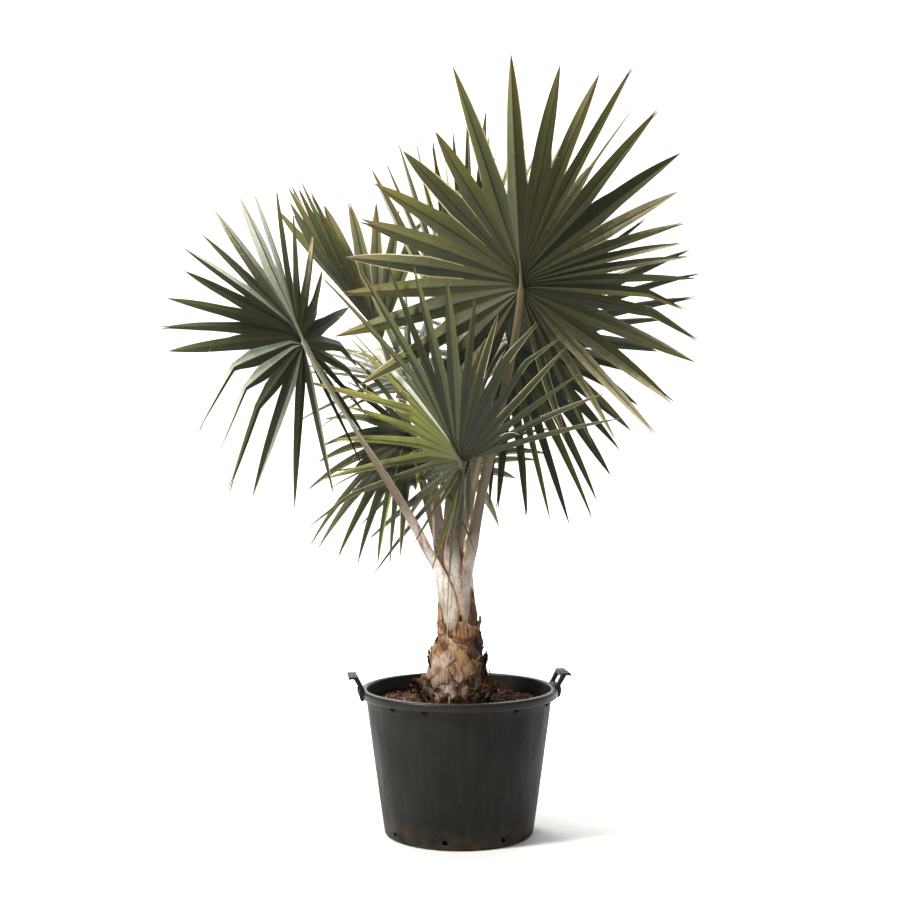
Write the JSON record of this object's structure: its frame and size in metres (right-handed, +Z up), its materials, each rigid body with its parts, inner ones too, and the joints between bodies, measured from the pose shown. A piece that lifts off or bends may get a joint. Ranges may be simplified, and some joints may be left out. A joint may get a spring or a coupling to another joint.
{
  "type": "potted bismarck palm",
  "caption": "Young fan palm with large pleated silver-green fronds on pale stalks, standing in a round black nursery tub with side handles.",
  "frame": {"origin": "centre of the flat underside of the tub", "axes": "+Z up along the tub's axis and the trunk, +X to the right of the plant as it is looked at in the picture, +Y away from the viewer"},
  "size_m": [1.6369, 1.3924, 2.2389],
  "materials": {
    "tub_plastic": "matte",
    "bark_soil": "matte",
    "trunk_wood": "matte",
    "old_leaf_base": "matte",
    "petiole": "satin",
    "leaf": "matte"
  },
  "bodies": {
    "root": {"blade_back": "leaf", "blade_back_left": "leaf", "blade_back_low": "leaf", "blade_back_right": "leaf", "blade_front": "leaf", "blade_front_right": "leaf", "blade_left": "leaf", "blade_lower_left": "leaf", "blade_right": "leaf", "blade_spear": "leaf", "blade_upper_left": "leaf", "handle_left": "tub_plastic", "handle_right": "tub_plastic", "old_leaf_base_01": "old_leaf_base", "old_leaf_base_02": "old_leaf_base", "old_leaf_base_03": "old_leaf_base", "old_leaf_base_04": "old_leaf_base", "old_leaf_base_05": "old_leaf_base", "old_leaf_base_06": "old_leaf_base", "old_leaf_base_07": "old_leaf_base", "old_leaf_base_08": "old_leaf_base", "old_leaf_base_09": "old_leaf_base", "old_leaf_base_10": "old_leaf_base", "old_leaf_base_11": "old_leaf_base", "old_leaf_base_12": "old_leaf_base", "old_leaf_base_13": "old_leaf_base", "old_leaf_base_14": "old_leaf_base", "old_leaf_base_15": "old_leaf_base", "old_leaf_base_16": "old_leaf_base", "old_leaf_base_17": "old_leaf_base", "old_leaf_base_18": "old_leaf_base", "old_leaf_base_19": "old_leaf_base", "old_leaf_base_20": "old_leaf_base", "old_leaf_base_21": "old_leaf_base", "old_leaf_base_22": "old_leaf_base", "old_leaf_base_23": "old_leaf_base", "petiole_back": "petiole", "petiole_back_left": "petiole", "petiole_back_low": "petiole", "petiole_back_right": "petiole", "petiole_front": "petiole", "petiole_front_right": "petiole", "petiole_left": "petiole", "petiole_lower_left": "petiole", "petiole_right": "petiole", "petiole_spear": "petiole", "petiole_upper_left": "petiole", "soil": "bark_soil", "trunk": "trunk_wood", "tub": "tub_plastic"}
  },
  "joints": []
}
